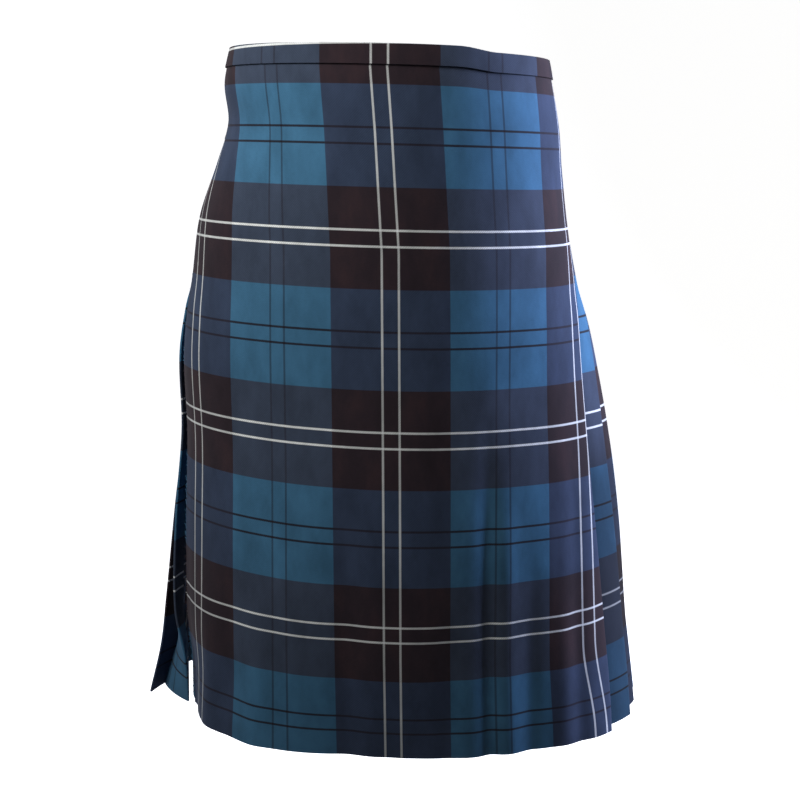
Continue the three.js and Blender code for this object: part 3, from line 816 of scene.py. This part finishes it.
def fringe():
    """The free edge's loose yarns: three-sided strands that taper, each bent its own way by a few
    waves of its number."""
    count, rings, sides = STRANDS.values()
    steps = np.linspace(0, 1, rings)[:, None]
    i = np.arange(count)[:, None, None]
    side = circle(sides)
    middle = FRINGE["top"] + (i + 0.5) * (LENGTH - FRINGE["top"]) / count
    length = FRINGE["length"] * (0.78 + 0.2 * np.sin(i * 2.3) * np.sin(i * 0.61))
    sway = 1.4 * np.sin(i * 1.9) * steps**2 + 0.5 * np.sin(i * 0.37 + 5 * steps) * steps
    lift = 0.9 * np.sin(i * 1.31 + 0.4) * steps**2
    thick = FRINGE["thick"] * (1 - 0.6 * steps) * (0.9 + 0.25 * np.sin(i * 3.1))
    below = np.clip(middle + sway + thick * np.sin(side), FRINGE["top"], LENGTH)
    along = -APRON_FREE_EDGE - SEAM_GAP - (FRINGE["strip"] + length) * steps + 0 * side
    edge = apron_out(np.full_like(below, -APRON_FREE_EDGE), below)
    points = on_cloth(below, along, edge + lift + thick * np.cos(side))
    threads = threads_at(along, middle).reshape(-1, 2)
    faces = faces_of_strands(**STRANDS)
    return make_mesh("apron_fringe_yarns", points, faces, FRINGE_WOOL, threads, 80)


def fringe_strip():
    """The narrow strip of cloth from which the strands stand."""
    below = spaced(FRINGE["top"], LENGTH, FRINGE_STRIP_STEP)[:, None]
    along = -APRON_FREE_EDGE - SEAM_GAP - np.array([[FRINGE["strip"], 0]]) + 0 * below
    out = apron_out(np.full_like(along, -APRON_FREE_EDGE), below)
    threads = threads_at(along - pattern_middle(below), below)
    return shell("apron_fringe_strip", on_cloth(below, along, out), threads, CLOTH["strip"])


# The waistband's profile from its lower edge to the top: heights below the top edge, and how far
# the wall bows out. Then its lip, as places from the wall to the cloth's inner side.
BAND_DROPS = np.array([BAND_HEIGHT, 15.2, 12.5, 9.5, 6.5, 3.5, 1.2, 0.2, -0.5, -0.85])[:, None]
BAND_BOW = 0.35 * np.array([0, 0.1, 0.25, 0.35, 0.4, 0.35, 0.2, 0, -0.25, -0.6])[:, None]
BAND_LIP = np.linspace(0.12, 1, 4)[:, None]
BAND_PATTERN = {"warp_shift": -8, "weft_start": 134.5, "slant": -0.0176}
# How far past the folded edge the front band ends and the back band starts, and the bands' grids
BAND_PAST_FOLD = {"front": 0.3, "back": 0.9}
BAND_SHARES = {"front": 0.009, "back": 0.0125, "under": 0.012}
# Half of the cloth between a band's wall and its lip
CLOTH_IN_BAND = {"apron": 0.6, "pleats": 0.55}


def waistband(name, below_places, outs, inner_outs, outward):
    """The band: a wall down the cloth's face, a rounded top, and a lip over the edge."""
    top = below_places(0)
    wall_gap = outward * (BAND_GAP + BAND_WALL / 2)
    wall = outs(top, 0) + wall_gap
    drops = np.maximum(BAND_DROPS, 0)
    places = below_places(drops)
    out = outs(places, drops) + wall_gap + outward * BAND_BOW
    lip_out = mix(wall, inner_outs(top, 0), BAND_LIP)
    all_places = np.concatenate([places, np.repeat(top, len(BAND_LIP), axis=0)])
    all_out = np.concatenate([out, lip_out])
    all_below = np.concatenate([BAND_DROPS, np.full_like(BAND_LIP, BAND_DROPS[-1, 0])])
    middle = on_cloth(all_below, all_places, all_out)
    run = np.cumsum(np.r_[0, np.abs(np.diff(BAND_DROPS[:, 0]))])
    reach = run[-1] + np.abs(wall - lip_out)
    across = np.concatenate([np.broadcast_to(run[:, None], places.shape), reach])
    u = all_places - BAND_PATTERN["warp_shift"]
    v = BAND_PATTERN["weft_start"] + across + BAND_PATTERN["slant"] * all_places
    threads = np.stack([u, v], axis=-1)
    if outward > 0:
        middle, threads = middle[::-1], threads[::-1]
    return shell(name, middle, threads, BAND_WALL)


def band_places(band, start, end):
    return mix(start, end, spaced(0, 1, BAND_SHARES[band])[None, :])


def front_places(below):
    return band_places("front", -APRON_FREE_EDGE, fold_at(below) + BAND_PAST_FOLD["front"])


def back_places(below):
    start = fold_at(below) + BAND_PAST_FOLD["back"]
    return band_places("back", start, crease_at(np.array(PLEATS), below))


def under_places(below):
    return band_places("under", under_start(below), UNDER_APRON_END)


# Hip straps and buckles

STRAP = {"width": 30, "thickness": 2.2, "length": 122, "tip": 12}
BUCKLE = {"along": 32, "across": 42, "bar": 3, "outer_bar_at": 60}
TAB = {"width": 27, "thickness": 2, "length": 36}
HIP_STRAPS = {"right": {"side": -1, "start": 216}, "left": {"side": 1, "start": 226}}
LEATHER_OUT = 8.5
HINGE_BAR_AT = BUCKLE["outer_bar_at"] + BUCKLE["along"] - BUCKLE["bar"]
# The strap's start lies closer where it is sewn on the apron, and it clears the tab by a little
ON_APRON = {"closer": 0.45, "until": 20}
STRAP_RISE = {"margin": 4, "over_tab": 0.8}
# Places of the rings towards the strap's tip, whose end is left a little blunt
LEATHER_STEP = 3
TIP_PLACES = np.array([0.2, 0.4, 0.6, 0.75, 0.88, 0.96, 1.0])
TIP_BLUNT = 0.995
LEATHER_SIDES = 24
LEATHER_SQUARED = 0.35
BAR_SIDES = 12
FRAME = {"points": 64, "squared": 0.28, "lift": 1.1, "radius": 1.2}
PRONG = {"rings": 12, "radius": 0.8, "past": 1, "short": 2}
PRONG_TAPER = {"ring": [0, 1, 4, 11], "radius": [0.35, 0.6, 0.8, 0.8]}
STITCH = {"pitch": 3.4, "length": 2.3, "thick": 0.3, "from_middle": 12.3, "sunk": 0.1}
STITCH_RINGS = np.linspace(-0.92, 0.92, 4)
STITCH_SIDES = 6


def strap_out(hip, t):
    """How far out the strap's underside lies: on the cloth, then over the hinge bar."""
    closer = ON_APRON["closer"] * (1 - smooth(0, ON_APRON["until"], t)) if hip["side"] < 0 else 0
    margin = STRAP_RISE["margin"]
    rise = smooth(BUCKLE["outer_bar_at"] + margin, HINGE_BAR_AT - margin, t)
    over_tab = LEATHER_OUT + TAB["thickness"] + STRAP_RISE["over_tab"]
    return mix(LEATHER_OUT - closer, over_tab, rise)


def hip_points(hip, t, across, out):
    """Points at a length t along a hip's strap, a width across it and a height out."""
    return on_cloth(STRAP_DROP + across, hip["side"] * (hip["start"] + t), out)


def leather_piece(name, hip, t, half, low, thickness):
    """A rounded oblong profile, a circle pushed out towards its corners, carried along the hip."""
    turn = circle(LEATHER_SIDES)
    across = half[:, None] * squared(np.cos(turn), LEATHER_SQUARED)
    out = low[:, None] + thickness / 2 * (1 + squared(np.sin(turn), LEATHER_SQUARED))
    points = hip_points(hip, t[:, None], across, out)
    faces = faces_of_tube(len(t), LEATHER_SIDES)
    caps = end_caps(len(t), LEATHER_SIDES)
    if hip["side"] < 0:
        faces = faces[:, ::-1]
        caps[1].reverse()
    else:
        caps[0].reverse()
    return make_mesh(name, points, [*faces.tolist(), *caps], LEATHER, sharp=50)


def hip_strap(name, hip):
    """The strap: full width to its tip, where the half width falls as a quarter of an ellipse."""
    body = STRAP["length"] - STRAP["tip"]
    t = np.concatenate([spaced(0, body, LEATHER_STEP), body + STRAP["tip"] * TIP_PLACES])
    share = np.clip((t - body) / STRAP["tip"], 0, TIP_BLUNT)
    half = STRAP["width"] / 2 * np.sqrt(1 - share**2)
    low = strap_out(hip, t)
    return leather_piece(f"leather_strap_{name}", hip, t, half, low, STRAP["thickness"])


def buckle_tab(name, hip):
    """The tab that holds the buckle: full width from just behind the hinge bar."""
    start = HINGE_BAR_AT + BUCKLE["bar"] / 2 + SEAM_GAP
    t = spaced(start, start + TAB["length"], LEATHER_STEP)
    half = np.full_like(t, TAB["width"] / 2)
    low = np.full_like(t, LEATHER_OUT)
    return leather_piece(f"leather_tab_{name}", hip, t, half, low, TAB["thickness"])


def round_bar(name, centres, radius, closed):
    """A steel bar: a circle of twelve sides carried along a path, square to the path."""
    if closed:
        ahead = unit(np.roll(centres, -1, axis=0) - np.roll(centres, 1, axis=0))
    else:
        ahead = unit(np.gradient(centres, axis=0))
    sideways = unit(np.cross(ahead, unit(centres * [1, 1, 0])))
    outward = np.cross(sideways, ahead)
    turn = circle(BAR_SIDES)[:, None]
    wide, high = radius[:, None, None] * np.cos(turn), radius[:, None, None] * np.sin(turn)
    ring = centres[:, None, :] + wide * sideways[:, None, :] + high * outward[:, None, :]
    faces = faces_of_tube(len(centres), BAR_SIDES, closed)[:, ::-1].tolist()
    if not closed:
        first, last = end_caps(len(centres), BAR_SIDES)
        faces += [first, last[::-1]]
    return make_mesh(name, ring, faces, STEEL, sharp=60)


def buckle_frame(name, hip):
    """The frame: a rounded oblong loop that slopes from above the strap down to its hinge bar."""
    outer_bar = BUCKLE["outer_bar_at"]
    over_strap = strap_out(hip, outer_bar) + STRAP["thickness"] + SEAM_GAP
    turn = circle(FRAME["points"])
    t = mix(outer_bar, HINGE_BAR_AT, 0.5 - 0.5 * squared(np.cos(turn), FRAME["squared"]))
    across = (BUCKLE["across"] - BUCKLE["bar"]) / 2 * squared(np.sin(turn), FRAME["squared"])
    share = (t - outer_bar) / (HINGE_BAR_AT - outer_bar)
    low = mix(over_strap, LEATHER_OUT, share)
    centres = hip_points(hip, t, across, low + FRAME["lift"])
    return round_bar(f"buckle_frame_{name}", centres, np.full(len(t), FRAME["radius"]), True)


def buckle_prong(name, hip):
    """The prong: a thin bar from the hinge to just past the outer bar, tapering to its point."""
    outer_bar, radius = BUCKLE["outer_bar_at"], PRONG["radius"]
    on_frame = strap_out(hip, outer_bar) + STRAP["thickness"] + BUCKLE["bar"] - radius
    on_frame = on_frame + 2 * SEAM_GAP
    on_strap = strap_out(hip, HINGE_BAR_AT) + STRAP["thickness"] + SEAM_GAP
    out = max(float(on_frame), float(on_strap)) + radius
    t = np.linspace(outer_bar - PRONG["past"], HINGE_BAR_AT - PRONG["short"], PRONG["rings"])
    centres = hip_points(hip, t, 0 * t, out)
    taper = np.interp(np.arange(PRONG["rings"]), PRONG_TAPER["ring"], PRONG_TAPER["radius"])
    return round_bar(f"buckle_prong_bar_{name}", centres, taper, False)


def seam(name, below, along, out):
    """Stitches end to end along a line on the cloth: six-sided grains, each an ellipsoid drawn out
    in the direction of the line."""
    centres = on_cloth(below, along, out)
    ahead = unit(np.gradient(centres, axis=0))[:, None, None, :]
    outward = unit(on_cloth(below, along, out + 1) - centres)[:, None, None, :]
    sideways = np.cross(ahead, outward)
    level = STITCH_RINGS[:, None, None]
    turn = circle(STITCH_SIDES)[:, None]
    drawn_out = level * STITCH["length"] / 2 * ahead
    girth = np.sqrt(1 - level**2) * STITCH["thick"]
    round_it = np.cos(turn) * sideways + np.sin(turn) * outward
    points = centres[:, None, None, :] + drawn_out + girth * round_it
    faces = faces_of_strands(len(centres), len(STITCH_RINGS), STITCH_SIDES)
    make_mesh(name, points, faces, DARK_THREAD, sharp=180)


# Making the pieces


def one_side_area(piece):
    """Half of a shell's faces by area, the area of the cloth it was cut from, in square metres."""
    sizes = np.empty(len(piece.data.polygons))
    piece.data.polygons.foreach_get("area", sizes)
    return float(sizes.sum() / 2)


def declare_cloth(piece, node, most, digits):
    """Replaces the piece's solid, and works out the area of its cut in square metres, up to a most
    and rounded to the given digits; that area is not kept."""
    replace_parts(piece, node)
    area = round(min(one_side_area(piece), most), digits)


apron = over_apron()
under = under_apron()
MIDDLE_PLEAT = math.ceil(PLEATS / 2)
pleats_left = pleat_cloth("cloth_pleats_left", 1, MIDDLE_PLEAT)
pleats_right = pleat_cloth("cloth_pleats_right", MIDDLE_PLEAT + 1, PLEATS)
yarns = fringe()
strip = fringe_strip()
band_front = waistband(
    "cloth_waistband_front",
    front_places,
    lambda along, below: apron_out(along, below) + CLOTH_IN_BAND["apron"],
    lambda along, below: apron_out(along, below) - CLOTH_IN_BAND["apron"],
    1,
)
band_back = waistband(
    "cloth_waistband_back",
    back_places,
    lambda along, below: column("crease", below) + CLOTH_IN_BAND["pleats"] + 0 * along,
    lambda along, below: PLEAT_LIFT - CLOTH_IN_BAND["pleats"] + 0 * along,
    1,
)
band_under = waistband(
    "cloth_waistband_under",
    under_places,
    lambda along, below: UNDER_LIFT - CLOTH_IN_BAND["apron"] + 0 * along,
    lambda along, below: UNDER_LIFT + CLOTH_IN_BAND["apron"] + 0 * along,
    -1,
)

# Each cloth with the solid that it replaces, its flat width and length, the most area of that cut,
# the digits of it, and what lies below
for piece, node, flat, most, digits, rests_on in (
    (apron, "over_apron", (0.470, 0.612), 0.2875, 4, [band_front]),
    (under, "under_apron", (0.462, 0.612), 0.2826, 4, [band_under]),
    (pleats_left, "pleats_left", (0.86, 0.615), 0.86 * 0.615, 4, [band_back]),
    (pleats_right, "pleats_right", (0.86, 0.615), 0.86 * 0.615, 4, [band_back]),
):
    declare_cloth(piece, node, most, digits)
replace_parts(strip, "apron_fringe")
for piece, node, width, rests_on in (
    (band_front, "waistband_front", 0.44, [band_under]),
    (band_back, "waistband_back", 0.33, [band_under]),
    (band_under, "waistband_under", 0.46, []),
):
    declare_cloth(piece, node, width * 0.026, 5)

for side, hip in HIP_STRAPS.items():
    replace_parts(hip_strap(side, hip), f"strap_{side}")
    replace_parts(buckle_tab(side, hip), f"buckle_tab_{side}")
    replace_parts(buckle_frame(side, hip), f"buckle_{side}")
    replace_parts(buckle_prong(side, hip), f"buckle_prong_{side}")
    t = np.arange(STITCH["pitch"], STRAP["length"] - STRAP["tip"], STITCH["pitch"])
    top = strap_out(hip, t) + STRAP["thickness"] - STITCH["sunk"]
    place = hip["side"] * (hip["start"] + t)
    for row, across in (("upper", -STITCH["from_middle"]), ("lower", STITCH["from_middle"])):
        seam(f"strap_stitches_{row}_{side}", STRAP_DROP + across + 0 * t, place, top)

# Camera, light and floor

CAMERA = {"lens": 58.45, "sensor": 36, "place": (0.0089, -1.2232, -0.0242), "looks_down": 10.732}
MIDDLE_OF_CLOTH = (0.0, 0.0, -0.25)
ROOM = {"floor": -1.0, "radius": 4.5, "bend": 1.2, "sides": 48, "steps": 12, "pole": 0.01}
WORLD_STRENGTH = 0.04

camera = bpy.data.cameras.new("camera")
camera.lens = CAMERA["lens"]
camera.sensor_width = CAMERA["sensor"]
camera_holder = bpy.data.objects.new("camera", camera)
camera_holder.location = CAMERA["place"]
camera_holder.rotation_euler = (math.radians(90 - CAMERA["looks_down"]), 0, 0)
scene.collection.objects.link(camera_holder)
scene.camera = camera_holder


def soft_light(name, place, aim, size, power, colour=(1, 1, 1)):
    """A square area light at place, turned to face aim."""
    lamp = bpy.data.lights.new(name, "AREA")
    lamp.size = size
    lamp.energy = power
    lamp.color = colour
    holder = bpy.data.objects.new(name, lamp)
    x, y, z = np.array(aim, float) - np.array(place, float)
    holder.location = place
    holder.rotation_euler = (math.atan2(math.hypot(x, y), -z), 0, math.atan2(-x, y))
    scene.collection.objects.link(holder)


soft_light("key_light", (-0.55, -0.55, 0.58), MIDDLE_OF_CLOTH, 0.5, 11.0, (1.0, 0.97, 0.82))
soft_light("side_light", (1.75, 0.45, 0.42), (0.0, 0.0, -0.15), 0.6, 102, (0.77, 0.82, 1.0))
soft_light("back_light", (-1.6, 1.1, 0.5), MIDDLE_OF_CLOTH, 0.8, 5)


def backdrop():
    """A pale bowl all round: a flat floor, a quarter circle up to the wall, and a half dome. Only
    the camera and gloss see it: it neither lights the cloth nor casts a shadow."""
    radius, bend_radius, pole = ROOM["radius"], ROOM["bend"], ROOM["pole"]
    bend = np.linspace(0, math.pi / 2, ROOM["steps"])
    rise = bend[1:-1]
    wall = radius - bend_radius + bend_radius * np.sin(bend)
    reach = np.concatenate([[pole], wall, radius * np.cos(rise), [pole]])
    up = bend_radius * (1 - np.cos(bend))
    dome = bend_radius + radius * np.sin(rise)
    height = np.concatenate([[0.0], up, dome, [bend_radius + radius]])
    turn = circle(ROOM["sides"])
    x, y = reach[:, None] * np.cos(turn), reach[:, None] * np.sin(turn)
    points = np.stack([x, y, ROOM["floor"] + height[:, None] + 0 * turn], axis=-1)
    faces = faces_of_tube(len(reach), ROOM["sides"])
    room = smooth_object("backdrop", points, faces, studio_white("studio_white"))
    room.visible_diffuse = False
    room.visible_shadow = False


backdrop()

world = bpy.data.worlds.new("studio")
world.use_nodes = True
background = world.node_tree.nodes["Background"].inputs
background["Color"].default_value = (1, 1, 1, 1)
background["Strength"].default_value = WORLD_STRENGTH
scene.world = world
scene.view_settings.view_transform = "Standard"
